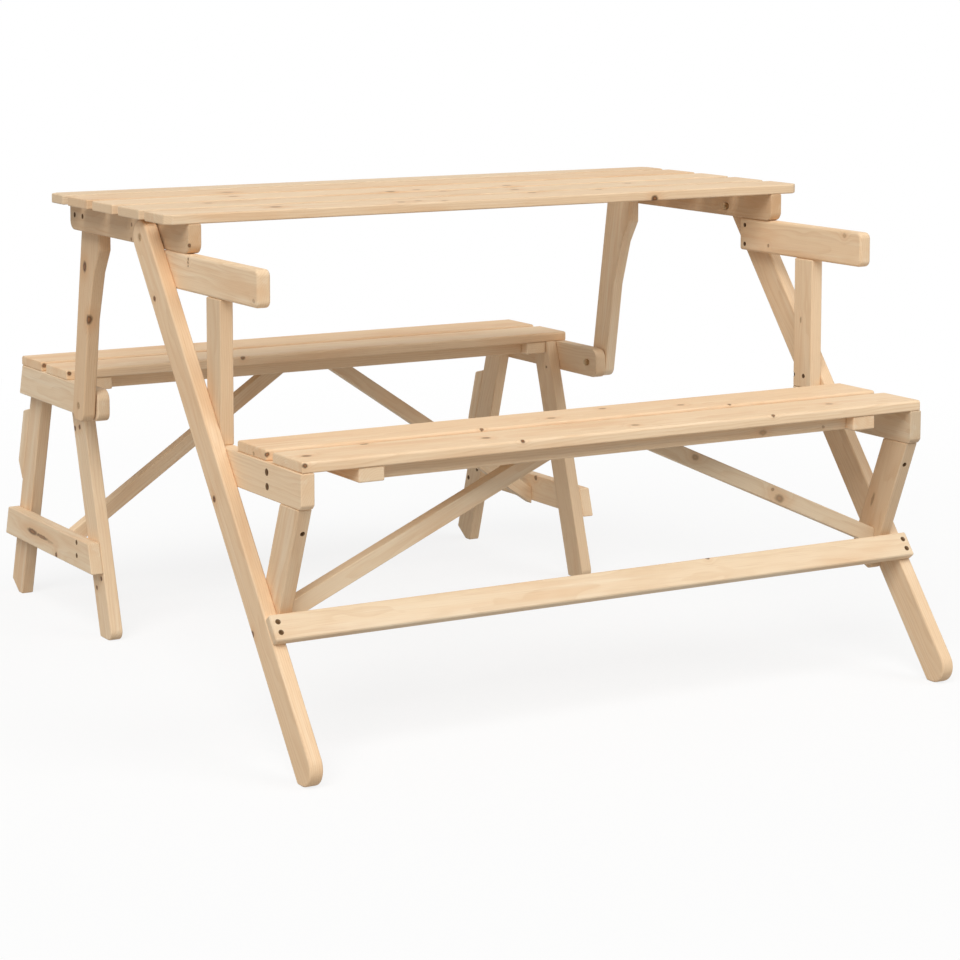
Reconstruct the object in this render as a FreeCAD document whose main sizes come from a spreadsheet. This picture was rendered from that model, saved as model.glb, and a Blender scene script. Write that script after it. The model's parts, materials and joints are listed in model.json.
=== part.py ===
import FreeCAD, Part
import os
import Sketcher
from FreeCAD import Placement, Rotation, Vector

# A convertible picnic table bench in bare softwood.
# Open, it is a table between a wide front bench and a narrower rear bench.
# The tabletop turns about two bolts at the heads of the long legs. Two links hang
# from it and carry the rear bench, which swings forward level until its seat lies
# beside the front one, and the tabletop then stands up as the backrest.
# The frame: X runs along the seats, Y from the front bench to the rear bench and
# Z up. The origin is on the floor in the middle of the footprint of the open table.
# Outlines are drawn from the tabletop's front edge, and each piece is then placed
# by table_front. Sides are 1 for the right, at +X, and -1 for the left.

doc = FreeCAD.newDocument("picnic_table_bench")
SIDES = {"left": -1, "right": 1}

# Driving dimensions in millimetres and degrees
SIZES = (
    # The whole, and the layers of timber at each side
    ("table_front", -244.5),
    ("half_span", 553),
    ("stock", 21),
    ("pivot_gap", 2),
    ("slide_gap", 1),
    ("edge_ease", 2),
    # The tabletop
    ("table_high", 740),
    ("table_overhang", 12),
    ("table_board_thick", 15),
    ("table_board_wide", 79),
    ("table_last_wide", 57),
    ("table_board_gap", 20),
    ("cleat_deep", 44),
    ("cleat_corner", 15),
    # The pivots and the links
    ("pivot_inset", 123.6),
    ("pivot_drop", 28.1),
    ("link_reach", 359.1),
    ("link_wide", 45),
    ("link_lean", 9.4),
    ("link_head_gap", 5),
    ("link_head_front", 387.5),
    ("link_head_drop", 75),
    ("link_waist_front", 411),
    ("link_waist_drop", 113),
    ("link_blend_drop", 190),
    ("link_tail", 25.4),
    ("link_corner", 16),
    # The long legs, the armrests and their posts
    ("leg_wide", 52),
    ("leg_foot_out", 417),
    ("leg_toe", 26),
    ("armrest_front", 231),
    ("armrest_back", 89.6),
    ("armrest_deep", 54),
    ("armrest_corner", 10),
    ("post_inset", 2.2),
    ("post_wide", 46.5),
    # The seats, and what lies under both of them
    ("seat_high", 434),
    ("seat_board_thick", 16),
    ("seat_board_wide", 91.5),
    ("seat_board_gap", 20),
    ("front_seat_out", 360.5),
    ("seat_side_gap", 2),
    ("rear_seat_front", 589),
    ("batten_wide", 40),
    ("batten_inset", 2),
    ("crossbar_wide", 40),
    ("crossbar_set", 20),
    ("stringer_wide", 40),
    # The lower frame of the front bench
    ("rail_deep", 51),
    ("rail_chamfer", 6),
    ("strut_wide", 54),
    ("strut_top_set", 37.1),
    ("strut_foot", 163),
    ("strut_foot_back", 16.4),
    ("strut_corner", 8),
    ("stretcher_wide", 40),
    ("stretcher_thick", 15),
    ("stretcher_gap", 1.2),
    # The braces
    ("brace_wide", 25),
    ("brace_set", 8),
    ("front_brace_head", 56),
    ("front_brace_foot", 194.7),
    ("rear_brace_head", 31),
    ("rear_brace_foot", 102),
    # The rear bench's frame
    ("rail_nose", 26.7),
    ("rail_nose_top", 18),
    ("rail_nose_bottom", 13),
    ("rear_leg_wide", 49),
    ("rear_leg_lean", 17),
    ("front_foot", 486.1),
    ("rear_foot", 892.3),
    ("rear_leg_toe", 15),
    ("heel_rise", 20),
    ("heel_run", 36),
    ("cross_low", 108),
    ("cross_deep", 49),
    ("block_thick", 26),
    ("block_top", 336),
    ("block_top_fall", 7),
    ("block_low", 237),
    ("block_tail", 205),
    # The pivot bolts, washers and nuts
    ("bolt_round", 3),
    ("bolt_play", 0.1),
    ("bolt_head_round", 5.8),
    ("bolt_head_high", 5),
    ("bolt_head_sink", 1.2),
    ("bolt_head_play", 0.6),
    ("bolt_tip", 1),
    ("washer_round", 8),
    ("washer_thick", 1.6),
    ("nut_high", 5),
    ("nut_gap", 0.3),
    # The wood screws
    ("screw_round", 2),
    ("screw_long", 32),
    ("screw_head_round", 3.5),
    ("screw_head_deep", 2),
    ("screw_edge", 12),
    ("cleat_screw_spread", 32),
    ("cleat_screw_back", 20),
    ("cleat_screw_drop", 20),
)

sheet = doc.addObject("Spreadsheet::Sheet", "Dim")
for row, (name, value) in enumerate(SIZES, start=1):
    sheet.set("A%d" % row, name)
    sheet.set("B%d" % row, str(value))
    sheet.setAlias("B%d" % row, name)
doc.recompute()

# The layers, given as how far each one's outer face stands from the middle
LEG_OUT = "Dim.half_span"
FRAME_OUT = "(Dim.half_span - Dim.stock)"
FRAME_IN = "(Dim.half_span - 2 * Dim.stock)"
CLEAT_OUT = "(Dim.half_span - Dim.stock - Dim.pivot_gap)"
LINK_OUT = "(Dim.half_span - 2 * Dim.stock - Dim.pivot_gap)"
REAR_RAIL_OUT = "(Dim.half_span - 3 * Dim.stock - 2 * Dim.pivot_gap)"
REAR_LEG_OUT = "(Dim.half_span - 4 * Dim.stock - 2 * Dim.pivot_gap)"
REAR_LEG_IN = "(Dim.half_span - 5 * Dim.stock - 2 * Dim.pivot_gap)"

# Heights, and places behind the tabletop's front edge
TABLE_UNDER = "(Dim.table_high - Dim.table_board_thick)"
TABLE_BACK = "(4 * (Dim.table_board_wide + Dim.table_board_gap) + Dim.table_last_wide)"
CLEAT_UNDER = "(%s - Dim.cleat_deep)" % TABLE_UNDER
PIVOT_Y = "Dim.pivot_inset"
PIVOT_Z = "(%s - Dim.pivot_drop)" % TABLE_UNDER
LINK_PIVOT_Y = "(Dim.pivot_inset + Dim.link_reach)"
ARMREST_UNDER = "(%s - Dim.armrest_deep)" % CLEAT_UNDER
SEAT_UNDER = "(Dim.seat_high - Dim.seat_board_thick)"
RAIL_UNDER = "(%s - Dim.rail_deep)" % SEAT_UNDER
REAR_SEAT_UNDER = "(%s - Dim.slide_gap)" % SEAT_UNDER
REAR_RAIL_UNDER = "(%s - Dim.rail_deep)" % REAR_SEAT_UNDER
LINK_PIVOT_Z = "(%s - Dim.rail_deep / 2)" % REAR_SEAT_UNDER
FRONT_SEAT_Y = "(-Dim.front_seat_out)"
REAR_SEAT_Y = "Dim.rear_seat_front"
SEAT_DEEP = "(2 * Dim.seat_board_wide + Dim.seat_board_gap)"
SEAT_MIDDLE = "(Dim.seat_board_wide + Dim.seat_board_gap / 2)"

pieces = []


def bind(thing, place, text):
    """Ties one size or place of a thing to an expression of the sheet."""
    thing.setExpression(place, text)


def keep(thing, label):
    """Names a finished piece, which gets a file of its own."""
    thing.Label = label
    pieces.append(thing)
    return thing


def origin_plane(body, role):
    """The body's own origin plane of that role."""
    return next(f for f in body.Origin.OriginFeatures if f.Role == role)


def draw(body, name, role, corners):
    """A closed outline of straight sides, whose corners are pairs of expressions."""
    sketch = body.newObject("Sketcher::SketchObject", name)
    sketch.AttachmentSupport = [(origin_plane(body, role), "")]
    sketch.MapMode = "FlatFace"
    spots = [[sketch.evalExpression(text) for text in corner] for corner in corners]
    count = len(spots)
    for index in range(count):
        ends = [Vector(*spots[at % count], 0) for at in (index, index + 1)]
        sketch.addGeometry(Part.LineSegment(*ends), False)
    for index in range(count):
        after = (index + 1) % count
        sketch.addConstraint(Sketcher.Constraint("Coincident", index, 2, after, 1))
    for index, corner in enumerate(corners):
        for kind, start, text in zip(("DistanceX", "DistanceY"), spots[index], corner):
            tie = sketch.addConstraint(Sketcher.Constraint(kind, -1, 1, index, 1, start))
            sketch.setExpression("Constraints[%d]" % tie, text)
    return sketch


def stick(name, corners, side, outer, thick="Dim.stock"):
    """A piece sawn to an outline seen from the side, in one layer of one side."""
    body = doc.addObject("PartDesign::Body", name)
    sketch = draw(body, name + "_outline", "YZ_Plane", corners)
    pad = body.newObject("PartDesign::Pad", name + "_sawn")
    pad.Profile = sketch
    bind(pad, "Length", thick)
    low = "%s - %s" % (outer, thick) if side > 0 else "-%s" % outer
    bind(body, "Placement.Base.x", low)
    bind(body, "Placement.Base.y", "Dim.table_front")
    doc.recompute()
    return body


def board(name, low_y, high_y, low_z, high_z, half_long):
    """A board that runs from side to side across the middle."""
    corners = [(low_y, low_z), (high_y, low_z), (high_y, high_z), (low_y, high_z)]
    return stick(name, corners, 1, half_long, "2 * %s" % half_long)


def spot_on(body, across, up):
    """A corner of a stick's outline, as a length and a height in the body's own frame."""
    return body.evalExpression(across), body.evalExpression(up)


def trim_corners(body, corners, radius):
    """Rounds the corners of a stick's outline that lie at the given places."""
    tip = body.Tip
    spots = [spot_on(body, *corner) for corner in corners]
    names = []
    for index, edge in enumerate(tip.Shape.Edges, start=1):
        box = edge.BoundBox
        for across, up in spots:
            near = abs(box.Center.y - across) + abs(box.Center.z - up)
            if box.DiagonalLength - box.XLength < 0.01 and near < 0.01:
                names.append("Edge%d" % index)
    fillet = body.newObject("PartDesign::Fillet", body.Name + "_corners")
    fillet.Base = (tip, names)
    bind(fillet, "Radius", radius)
    doc.recompute()
    return body


def ease_edges(body):
    """Takes the sharpness off every edge of a board."""
    tip = body.Tip
    chamfer = body.newObject("PartDesign::Chamfer", body.Name + "_eased")
    chamfer.Base = (tip, ["Edge%d" % index for index in range(1, len(tip.Shape.Edges) + 1)])
    bind(chamfer, "Size", "Dim.edge_ease")
    doc.recompute()
    return body


def lay_along_x(thing, side, outer, long, y, z):
    """Lays a cylinder or a prism along X, from its outer end inwards."""
    thing.Placement = Placement(Vector(0, 0, 0), Rotation(Vector(0, 1, 0), 90))
    bind(thing, "Height", long)
    bind(thing, "Placement.Base.x", "%s - %s" % (outer, long) if side > 0 else "-" + outer)
    bind(thing, "Placement.Base.y", "Dim.table_front + %s" % y)
    bind(thing, "Placement.Base.z", z)


def rod(name, side, outer, long, y, z, radius):
    """A cylinder along X that reaches inwards from its outer end."""
    cylinder = doc.addObject("Part::Cylinder", name)
    lay_along_x(cylinder, side, outer, long, y, z)
    bind(cylinder, "Radius", radius)
    return cylinder


def group(name, members):
    """Pieces that are alike, or tools that cut together, as one object."""
    fuse = doc.addObject("Part::MultiFuse", name)
    fuse.Shapes = members
    doc.recompute()
    return fuse


def drilled(blank, drills):
    """The piece with the holes that its bolts and screws need."""
    tool = drills[0] if len(drills) == 1 else group(blank.Name + "_drills", drills)
    cut = doc.addObject("Part::Cut", blank.Name + "_drilled")
    cut.Base = blank
    cut.Tool = tool
    doc.recompute()
    if cut.Shape.Volume > blank.Shape.Volume - 1:
        raise ValueError("a drill misses " + blank.Name)
    return cut


def screw(name, x, y, z, turn_axis, turn):
    """A wood screw, its head let in flush with the face that it stands on."""
    parts = []
    for kind, long, radius in (("head", "Dim.screw_head_deep", "Dim.screw_head_round"),
                               ("shank", "Dim.screw_long", "Dim.screw_round")):
        part = doc.addObject("Part::Cylinder", "%s_%s" % (name, kind))
        part.Placement = Placement(Vector(0, 0, 0), Rotation(turn_axis, 1))
        bind(part, "Radius", radius)
        bind(part, "Height", long)
        bind(part, "Placement.Rotation.Angle", turn)
        bind(part, "Placement.Base.x", x)
        bind(part, "Placement.Base.y", "Dim.table_front + %s" % y)
        bind(part, "Placement.Base.z", z)
        parts.append(part)
    return parts


def leaning(middle_y, middle_z, lean, wide, z, edge):
    """Where a leaning stick's front edge (-1), middle (0) or rear edge (1) is at height z.

    The stick's middle line goes through the given point, and leans to the rear going up.
    """
    return "(%s + (%s - %s) * tan(%s) + %s * %s / 2 / cos(%s))" % (
        middle_y, z, middle_z, lean, edge, wide, lean)


LEG_LEAN = "atan((Dim.pivot_inset + Dim.leg_foot_out) / %s)" % PIVOT_Z


def long_leg_y(z, edge):
    return leaning(PIVOT_Y, PIVOT_Z, LEG_LEAN, "Dim.leg_wide", z, edge)


# The front strut runs from the rail to the inside of the long leg
STRUT_TOP_Y = "(%s + Dim.strut_top_set)" % FRONT_SEAT_Y
STRUT_FOOT_Y = "(%s + Dim.strut_foot_back)" % long_leg_y("Dim.strut_foot", 1)
STRUT_LEAN = "atan((%s - %s) / (%s - Dim.strut_foot))" % (STRUT_TOP_Y, STRUT_FOOT_Y, RAIL_UNDER)


def strut_y(z, edge):
    return leaning(STRUT_TOP_Y, RAIL_UNDER, STRUT_LEAN, "Dim.strut_wide", z, edge)


# The stretcher lies on the long legs, just below where the struts pass their front edges
STRUT_PASSES = "((%s - %s) / (tan(%s) - tan(%s)))" % (
    strut_y("0", -1), long_leg_y("0", -1), LEG_LEAN, STRUT_LEAN)
STRETCHER_LOW = "(%s - Dim.stretcher_gap - Dim.stretcher_wide * cos(%s))" % (
    STRUT_PASSES, LEG_LEAN)


def link_y(z, edge):
    return leaning(LINK_PIVOT_Y, LINK_PIVOT_Z, "(-Dim.link_lean)", "Dim.link_wide", z, edge)


def front_foot_y(z, edge):
    return leaning("Dim.front_foot", "0", "Dim.rear_leg_lean", "Dim.rear_leg_wide", z, edge)


def rear_foot_y(z, edge):
    return leaning("Dim.rear_foot", "0", "(-Dim.rear_leg_lean)", "Dim.rear_leg_wide", z, edge)


# The bolts of the two pivots, each through two layers of timber with a washer between


def hexagon(name, side, outer, long, y, z):
    """A hexagonal prism along X that reaches inwards from its outer end."""
    prism = doc.addObject("Part::Prism", name)
    prism.Polygon = 6
    lay_along_x(prism, side, outer, long, y, z)
    bind(prism, "Circumradius", "Dim.bolt_head_round")
    return prism


def pivot(name, head_face, y, z):
    """The bolts, washers and nuts of one pivot, and the drills for what they go through."""
    head_top = "(%s - Dim.bolt_head_sink)" % head_face
    seat = "(%s - Dim.bolt_head_high)" % head_top
    nut_face = "(%s - 2 * Dim.stock - Dim.pivot_gap - Dim.nut_gap)" % head_face
    shank = "(%s - %s + Dim.nut_high + Dim.bolt_tip)" % (seat, nut_face)
    sink = "(Dim.bolt_head_sink + Dim.bolt_head_high)"
    hole = "(Dim.bolt_round + Dim.bolt_play)"
    recess_round = "(Dim.bolt_head_round + Dim.bolt_head_play)"
    washer_face = "(%s - Dim.stock - (Dim.pivot_gap - Dim.washer_thick) / 2)" % head_face
    through = "(2 * Dim.stock + Dim.pivot_gap)"
    bolts = []
    washers = []
    nuts = []
    drills = {}
    for hand, side in SIDES.items():
        tag = "%s_%s" % (name, hand)
        bolts.append(hexagon(tag + "_head", side, head_top, "Dim.bolt_head_high", y, z))
        bolts.append(rod(tag + "_shank", side, seat, shank, y, z, "Dim.bolt_round"))
        bore = rod(tag + "_bore", side, head_face, through, y, z, hole)
        recess = rod(tag + "_recess", side, head_face, sink, y, z, recess_round)
        disc = rod(tag + "_disc", side, washer_face, "Dim.washer_thick", y, z,
                   "Dim.washer_round")
        washers.append(drilled(disc, [bore]))
        nut = hexagon(tag + "_hexagon", side, nut_face, "Dim.nut_high", y, z)
        thread = rod(tag + "_thread", side, nut_face, "Dim.nut_high", y, z, "Dim.bolt_round")
        nuts.append(drilled(nut, [thread]))
        drills[side] = (bore, recess)
    keep(group(name + "_bolts", bolts), name + "_bolts")
    keep(group(name + "_washers", washers), name + "_washers")
    keep(group(name + "_nuts", nuts), name + "_nuts")
    return drills


top_pivot = pivot("top_pivot", LEG_OUT, PIVOT_Y, PIVOT_Z)
link_pivot = pivot("link_pivot", LINK_OUT, LINK_PIVOT_Y, LINK_PIVOT_Z)

# The wood screws that the tilting top and the stretcher hang on


def make_cleat_screws():
    """Two screws at each side, driven inwards through the cleat into the link's head."""
    parts = []
    for hand, side in SIDES.items():
        for index in range(2):
            y = "(%s - Dim.cleat_screw_back - %d * Dim.cleat_screw_spread)" % (TABLE_BACK, index)
            z = "(%s - Dim.cleat_screw_drop)" % TABLE_UNDER
            name = "cleat_screws_%s_%d" % (hand, index)
            parts += screw(name, "%d * %s" % (side, CLEAT_OUT), y, z, Vector(0, -side, 0), "90")
    return keep(group("cleat_screws", parts), "cleat_screws")


cleat_screws = make_cleat_screws()


def stretcher_spot(up, out):
    """A point of the stretcher, up its width along the legs and out from their front."""
    foot = long_leg_y(STRETCHER_LOW, -1)
    y = "(%s + %s * sin(%s) - %s * cos(%s))" % (foot, up, LEG_LEAN, out, LEG_LEAN)
    z = "(%s + %s * cos(%s) + %s * sin(%s))" % (STRETCHER_LOW, up, LEG_LEAN, out, LEG_LEAN)
    return y, z


def make_stretcher_screws():
    """Two screws at each end of the stretcher, square to the legs' front edges."""
    parts = []
    for hand, side in SIDES.items():
        x = "%d * (Dim.half_span - Dim.stock / 2)" % side
        for index, up in enumerate(("Dim.screw_edge", "(Dim.stretcher_wide - Dim.screw_edge)")):
            y, z = stretcher_spot(up, "Dim.stretcher_thick")
            name = "stretcher_screws_%s_%d" % (hand, index)
            parts += screw(name, x, y, z, Vector(-1, 0, 0), "90 deg + " + LEG_LEAN)
    return keep(group("stretcher_screws", parts), "stretcher_screws")


stretcher_screws = make_stretcher_screws()

# The tabletop: five boards on two cleats, and the links that hang from the cleats

for index in range(5):
    name = "table_board_%d" % (index + 1)
    front = "%d * (Dim.table_board_wide + Dim.table_board_gap)" % index
    wide = "Dim.table_board_wide" if index < 4 else "Dim.table_last_wide"
    back = "%s + %s" % (front, wide)
    half_long = "(Dim.half_span + Dim.table_overhang)"
    plank = board(name, front, back, TABLE_UNDER, "Dim.table_high", half_long)
    keep(ease_edges(plank), name)


def cleat(hand, side):
    corners = [("0", CLEAT_UNDER), (TABLE_BACK, CLEAT_UNDER),
               (TABLE_BACK, TABLE_UNDER), ("0", TABLE_UNDER)]
    body = stick("cleat_blank_" + hand, corners, side, CLEAT_OUT)
    trim_corners(body, corners[:2], "Dim.cleat_corner")
    bore, recess = top_pivot[side]
    return keep(drilled(body, [bore, cleat_screws]), "cleat_" + hand)


def link(hand, side):
    """The link, whose wide head is screwed to the inside of the cleat."""
    top = "(%s - Dim.link_head_gap)" % TABLE_UNDER
    low = "(%s - Dim.link_tail)" % LINK_PIVOT_Z
    blend = "(%s - Dim.link_blend_drop)" % TABLE_UNDER
    tail = [(link_y(low, -1), low), (link_y(low, 1), low)]
    corners = tail + [
        (link_y(top, 1), top),
        ("Dim.link_head_front", top),
        ("Dim.link_head_front", "%s - Dim.link_head_drop" % TABLE_UNDER),
        ("Dim.link_waist_front", "%s - Dim.link_waist_drop" % TABLE_UNDER),
        (link_y(blend, -1), blend),
    ]
    body = stick("link_blank_" + hand, corners, side, LINK_OUT)
    trim_corners(body, tail, "Dim.link_corner")
    return keep(drilled(body, list(link_pivot[side]) + [cleat_screws]),
                "link_" + hand)


# The front bench


def long_leg(hand, side):
    """The long leg, with a toe rounded for the floor and a round head at the pivot."""
    toe = (long_leg_y("0", -1), "0")
    corners = [toe, (long_leg_y("0", 1), "0")]
    for edge in (1, -1):
        y = "(%s + %d * Dim.leg_wide / 2 * cos(%s))" % (PIVOT_Y, edge, LEG_LEAN)
        z = "(%s - %d * Dim.leg_wide / 2 * sin(%s))" % (PIVOT_Z, edge, LEG_LEAN)
        corners.append((y, z))
    body = stick("long_leg_blank_" + hand, corners, side, LEG_OUT)
    trim_corners(body, [toe], "Dim.leg_toe")
    sketch = body.newObject("Sketcher::SketchObject", "leg_head_outline_" + hand)
    sketch.AttachmentSupport = [(origin_plane(body, "YZ_Plane"), "")]
    sketch.MapMode = "FlatFace"
    middle = [sketch.evalExpression(text) for text in (PIVOT_Y, PIVOT_Z)]
    radius = sketch.evalExpression("Dim.leg_wide / 2")
    sketch.addGeometry(Part.Circle(Vector(*middle, 0), Vector(0, 0, 1), radius), False)
    ties = (("DistanceX", -1, 1, 0, 3, middle[0], PIVOT_Y),
            ("DistanceY", -1, 1, 0, 3, middle[1], PIVOT_Z),
            ("Radius", 0, radius, "Dim.leg_wide / 2"))
    for tie in ties:
        number = sketch.addConstraint(Sketcher.Constraint(*tie[:-1]))
        bind(sketch, "Constraints[%d]" % number, tie[-1])
    head = body.newObject("PartDesign::Pad", "leg_head_" + hand)
    head.Profile = sketch
    bind(head, "Length", "Dim.stock")
    doc.recompute()
    drills = list(top_pivot[side]) + [stretcher_screws]
    return keep(drilled(body, drills), "long_leg_" + hand)


def armrest(hand, side):
    front = "(-Dim.armrest_front)"
    corners = [(front, ARMREST_UNDER), ("Dim.armrest_back", ARMREST_UNDER),
               ("Dim.armrest_back", CLEAT_UNDER), (front, CLEAT_UNDER)]
    body = stick("armrest_" + hand, corners, side, FRAME_OUT)
    return keep(trim_corners(body, [corners[0], corners[3]], "Dim.armrest_corner"),
                "armrest_" + hand)


def arm_post(hand, side):
    """The post under the armrest, near the rear end of the rail that it stands on."""
    back = "(%s - Dim.post_inset)" % long_leg_y(SEAT_UNDER, 1)
    front = "(%s - Dim.post_wide)" % back
    corners = [(front, SEAT_UNDER), (back, SEAT_UNDER),
               (back, ARMREST_UNDER), (front, ARMREST_UNDER)]
    return keep(stick("arm_post_" + hand, corners, side, FRAME_OUT), "arm_post_" + hand)


def front_rail(hand, side):
    """The rail under the front seat, cut off along the long leg's rear edge."""
    corners = [
        ("(%s + Dim.rail_chamfer)" % FRONT_SEAT_Y, RAIL_UNDER),
        (long_leg_y(RAIL_UNDER, 1), RAIL_UNDER),
        (long_leg_y(SEAT_UNDER, 1), SEAT_UNDER),
        (FRONT_SEAT_Y, SEAT_UNDER),
        (FRONT_SEAT_Y, "(%s + Dim.rail_chamfer)" % RAIL_UNDER),
    ]
    return keep(stick("front_rail_" + hand, corners, side, FRAME_OUT), "front_rail_" + hand)


def front_strut(hand, side):
    """The strut from under the rail down to the inside of the long leg, its foot square."""
    foot = []
    for edge in (-1, 1):
        y = "(%s + %d * Dim.strut_wide / 2 * cos(%s))" % (STRUT_FOOT_Y, edge, STRUT_LEAN)
        z = "(Dim.strut_foot - %d * Dim.strut_wide / 2 * sin(%s))" % (edge, STRUT_LEAN)
        foot.append((y, z))
    corners = foot + [(strut_y(RAIL_UNDER, 1), RAIL_UNDER),
                      (strut_y(RAIL_UNDER, -1), RAIL_UNDER)]
    body = stick("front_strut_" + hand, corners, side, FRAME_OUT)
    trim_corners(body, corners[:2], "Dim.strut_corner")
    return keep(body, "front_strut_" + hand)


def stretcher():
    """The board across the front edges of the two long legs."""
    corners = [stretcher_spot("0", "0"), stretcher_spot("Dim.stretcher_wide", "0"),
               stretcher_spot("Dim.stretcher_wide", "Dim.stretcher_thick"),
               stretcher_spot("0", "Dim.stretcher_thick")]
    body = stick("stretcher_blank", corners, 1, LEG_OUT, "2 * %s" % LEG_OUT)
    return keep(drilled(ease_edges(body), [stretcher_screws]), "stretcher")


# What both benches have under their seats


def seat(bench, front, under, half_long):
    """Two seat boards from front to back."""
    for index, place in enumerate(("front", "rear")):
        low = "(%s + %d * (Dim.seat_board_wide + Dim.seat_board_gap))" % (front, index)
        high = "(%s + Dim.seat_board_wide)" % low
        top = "(%s + Dim.seat_board_thick)" % under
        name = "%s_seat_board_%s" % (bench, place)
        keep(ease_edges(board(name, low, high, under, top, half_long)), name)


def under_seat(bench, front, under, half_room, brace_outer, brace_foot, brace_head):
    """Battens, the crossbar and stringer between them, and the two braces below."""
    low = "(%s - Dim.stock)" % under
    back = "(%s + %s)" % (front, SEAT_DEEP)
    inner = "(%s - Dim.batten_wide)" % half_room
    corners = [("(%s + Dim.batten_inset)" % front, low), ("(%s - Dim.batten_inset)" % back, low),
               ("(%s - Dim.batten_inset)" % back, under), ("(%s + Dim.batten_inset)" % front, under)]
    for hand, side in SIDES.items():
        name = "%s_batten_%s" % (bench, hand)
        keep(stick(name, corners, side, half_room, "Dim.batten_wide"), name)
    crossbar_front = "(%s + Dim.crossbar_set)" % front
    crossbar = board(bench + "_crossbar", crossbar_front,
                     "(%s + Dim.crossbar_wide)" % crossbar_front, low, under, inner)
    keep(crossbar, bench + "_crossbar")
    middle = "(%s + %s)" % (front, SEAT_MIDDLE)
    stringer = board(bench + "_stringer", "(%s - Dim.stringer_wide / 2)" % middle,
                     "(%s + Dim.stringer_wide / 2)" % middle, low, under, inner)
    keep(stringer, bench + "_stringer")
    slope = "((%s - %s) / (%s - %s))" % (low, brace_foot, brace_outer, brace_head)
    tall = "(Dim.brace_wide * sqrt(1 + %s * %s))" % (slope, slope)
    head_out = "(%s + %s / %s)" % (brace_head, tall, slope)
    for hand, side in SIDES.items():
        name = "%s_brace_%s" % (bench, hand)
        body = doc.addObject("PartDesign::Body", name)
        outline = [(brace_outer, brace_foot), (brace_head, low), (head_out, low),
                   (brace_outer, "(%s + %s)" % (brace_foot, tall))]
        mirrored = [("%d * %s" % (side, x), z) for x, z in outline]
        pad = body.newObject("PartDesign::Pad", name + "_sawn")
        pad.Profile = draw(body, name + "_outline", "XZ_Plane", mirrored)
        pad.SideType = "Symmetric"
        bind(pad, "Length", "Dim.stock")
        bind(body, "Placement.Base.y", "Dim.table_front + %s - Dim.brace_set" % middle)
        keep(body, name)


# The rear bench


def rear_rail(hand, side):
    """The rail that turns on the link, cut off along the rear leg's rear edge."""
    nose = "(%s - Dim.rail_nose)" % LINK_PIVOT_Y
    corners = [(nose, REAR_RAIL_UNDER), (rear_foot_y(REAR_RAIL_UNDER, 1), REAR_RAIL_UNDER),
               (rear_foot_y(REAR_SEAT_UNDER, 1), REAR_SEAT_UNDER), (nose, REAR_SEAT_UNDER)]
    body = stick("rear_rail_blank_" + hand, corners, side, REAR_RAIL_OUT)
    trim_corners(body, corners[:1], "Dim.rail_nose_bottom")
    trim_corners(body, corners[3:], "Dim.rail_nose_top")
    return keep(drilled(body, [link_pivot[side][0]]), "rear_rail_" + hand)


def rear_bench_legs(hand, side):
    """The two splayed legs of one side, with the foot ends cut for the floor."""
    corners = [(front_foot_y("0", -1), "0"), (front_foot_y("0", 1), "0"),
               (front_foot_y(REAR_SEAT_UNDER, 1), REAR_SEAT_UNDER),
               (front_foot_y(REAR_SEAT_UNDER, -1), REAR_SEAT_UNDER)]
    body = stick("rear_bench_front_leg_" + hand, corners, side, REAR_LEG_OUT)
    trim_corners(body, corners[:1], "Dim.rear_leg_toe")
    keep(body, "rear_bench_front_leg_" + hand)
    corners = [(rear_foot_y("0", -1), "0"), ("(%s - Dim.heel_run)" % rear_foot_y("0", 1), "0"),
               (rear_foot_y("Dim.heel_rise", 1), "Dim.heel_rise"),
               (rear_foot_y(REAR_SEAT_UNDER, 1), REAR_SEAT_UNDER),
               (rear_foot_y(REAR_SEAT_UNDER, -1), REAR_SEAT_UNDER)]
    name = "rear_bench_rear_leg_" + hand
    keep(stick(name, corners, side, REAR_LEG_OUT), name)


def leg_block(hand, side):
    """The block behind the rear leg, which tapers to nothing at its lower end."""
    out = "Dim.block_thick / cos(Dim.rear_leg_lean)"
    fallen = "(Dim.block_top - Dim.block_top_fall)"
    corners = [(rear_foot_y("Dim.block_tail", 1), "Dim.block_tail"),
               ("(%s + %s)" % (rear_foot_y("Dim.block_low", 1), out), "Dim.block_low"),
               ("(%s + %s)" % (rear_foot_y(fallen, 1), out), fallen),
               (rear_foot_y("Dim.block_top", 1), "Dim.block_top")]
    return keep(stick("leg_block_" + hand, corners, side, REAR_LEG_OUT), "leg_block_" + hand)


def cross_board(hand, side):
    """The low board outside the two legs, its ends cut along their edges."""
    low = "Dim.cross_low"
    high = "(Dim.cross_low + Dim.cross_deep)"
    corners = [(front_foot_y(low, -1), low), (rear_foot_y(low, 1), low),
               (rear_foot_y(high, 1), high), (front_foot_y(high, -1), high)]
    return keep(stick("cross_board_" + hand, corners, side, REAR_RAIL_OUT), "cross_board_" + hand)


for hand, side in SIDES.items():
    cleat(hand, side)
    link(hand, side)
    long_leg(hand, side)
    armrest(hand, side)
    arm_post(hand, side)
    front_rail(hand, side)
    front_strut(hand, side)
    rear_rail(hand, side)
    rear_bench_legs(hand, side)
    leg_block(hand, side)
    cross_board(hand, side)

stretcher()
seat("front", FRONT_SEAT_Y, SEAT_UNDER, "(%s - Dim.seat_side_gap)" % FRAME_OUT)
seat("rear", REAR_SEAT_Y, REAR_SEAT_UNDER, REAR_RAIL_OUT)
under_seat("front", FRONT_SEAT_Y, SEAT_UNDER, "(%s - Dim.slide_gap)" % REAR_LEG_IN,
           FRAME_IN, "Dim.front_brace_foot", "Dim.front_brace_head")
under_seat("rear", REAR_SEAT_Y, REAR_SEAT_UNDER, REAR_LEG_IN,
           "(%s - Dim.stock)" % REAR_RAIL_OUT, "Dim.rear_brace_foot", "Dim.rear_brace_head")

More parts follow.
